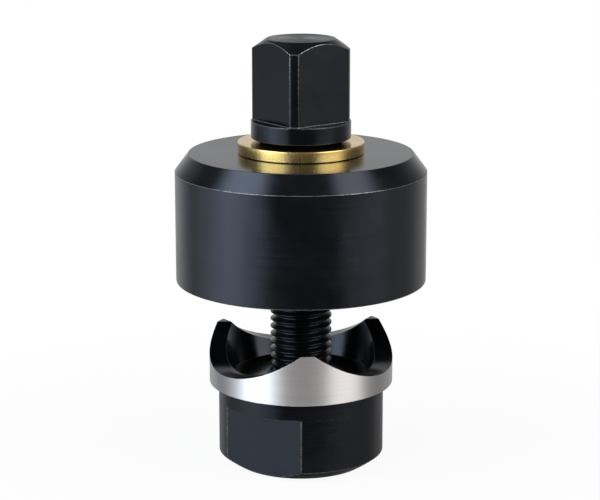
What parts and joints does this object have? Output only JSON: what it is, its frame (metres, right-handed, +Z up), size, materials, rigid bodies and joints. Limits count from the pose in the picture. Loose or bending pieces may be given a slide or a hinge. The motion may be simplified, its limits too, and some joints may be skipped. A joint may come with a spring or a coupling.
{
  "type": "sheet metal hole punch",
  "caption": "Screw-drawn punch and die for cutting a round hole in sheet metal: square-headed draw bolt, brass thrust washer, hollow die and cup-shaped punch with a pointed crown.",
  "frame": {"origin": "middle of the punch's foot, the face that the tool stands on", "axes": "+Z up along the tool's axis from the punch to the square head; -Y is the side that the picture is taken from"},
  "size_m": [0.081, 0.081, 0.1393],
  "materials": {
    "black_steel": "black-oxide tool steel, satin, with a bright ground cutting band",
    "black_bolt_steel": "black-oxide steel, milled flats and rolled thread",
    "black_die_steel": "black-oxide tool steel, fine turned, glossy",
    "brass": "turned brass, satin",
    "ground_steel": "cylindrically ground steel, bare"
  },
  "bodies": {
    "punch": {"punch": "black_steel"},
    "thrust_washer": {"thrust_washer": "brass"},
    "draw_bolt": {"draw_bolt": "black_bolt_steel"},
    "die": {"die": "black_die_steel"}
  },
  "joints": [
    {"name": "draw", "type": "slide", "parent": "punch", "child": "thrust_washer", "axis": [0, 0, -1], "range_m": [-0.015, 0.031]},
    {"name": "bolt_turn", "type": "hinge", "parent": "thrust_washer", "child": "draw_bolt", "pos_m": [0, 0, 0.1], "axis": [0, 0, -1], "range_deg": [-2160.01, 4464.01]},
    {"name": "die_slide", "type": "slide", "parent": "thrust_washer", "child": "die", "axis": [0, 0, -1], "range_m": [0, 0.016]}
  ],
  "couplings": [
    {"joint": "bolt_turn", "follows": "draw", "rad_per_m": 2513.3}
  ]
}
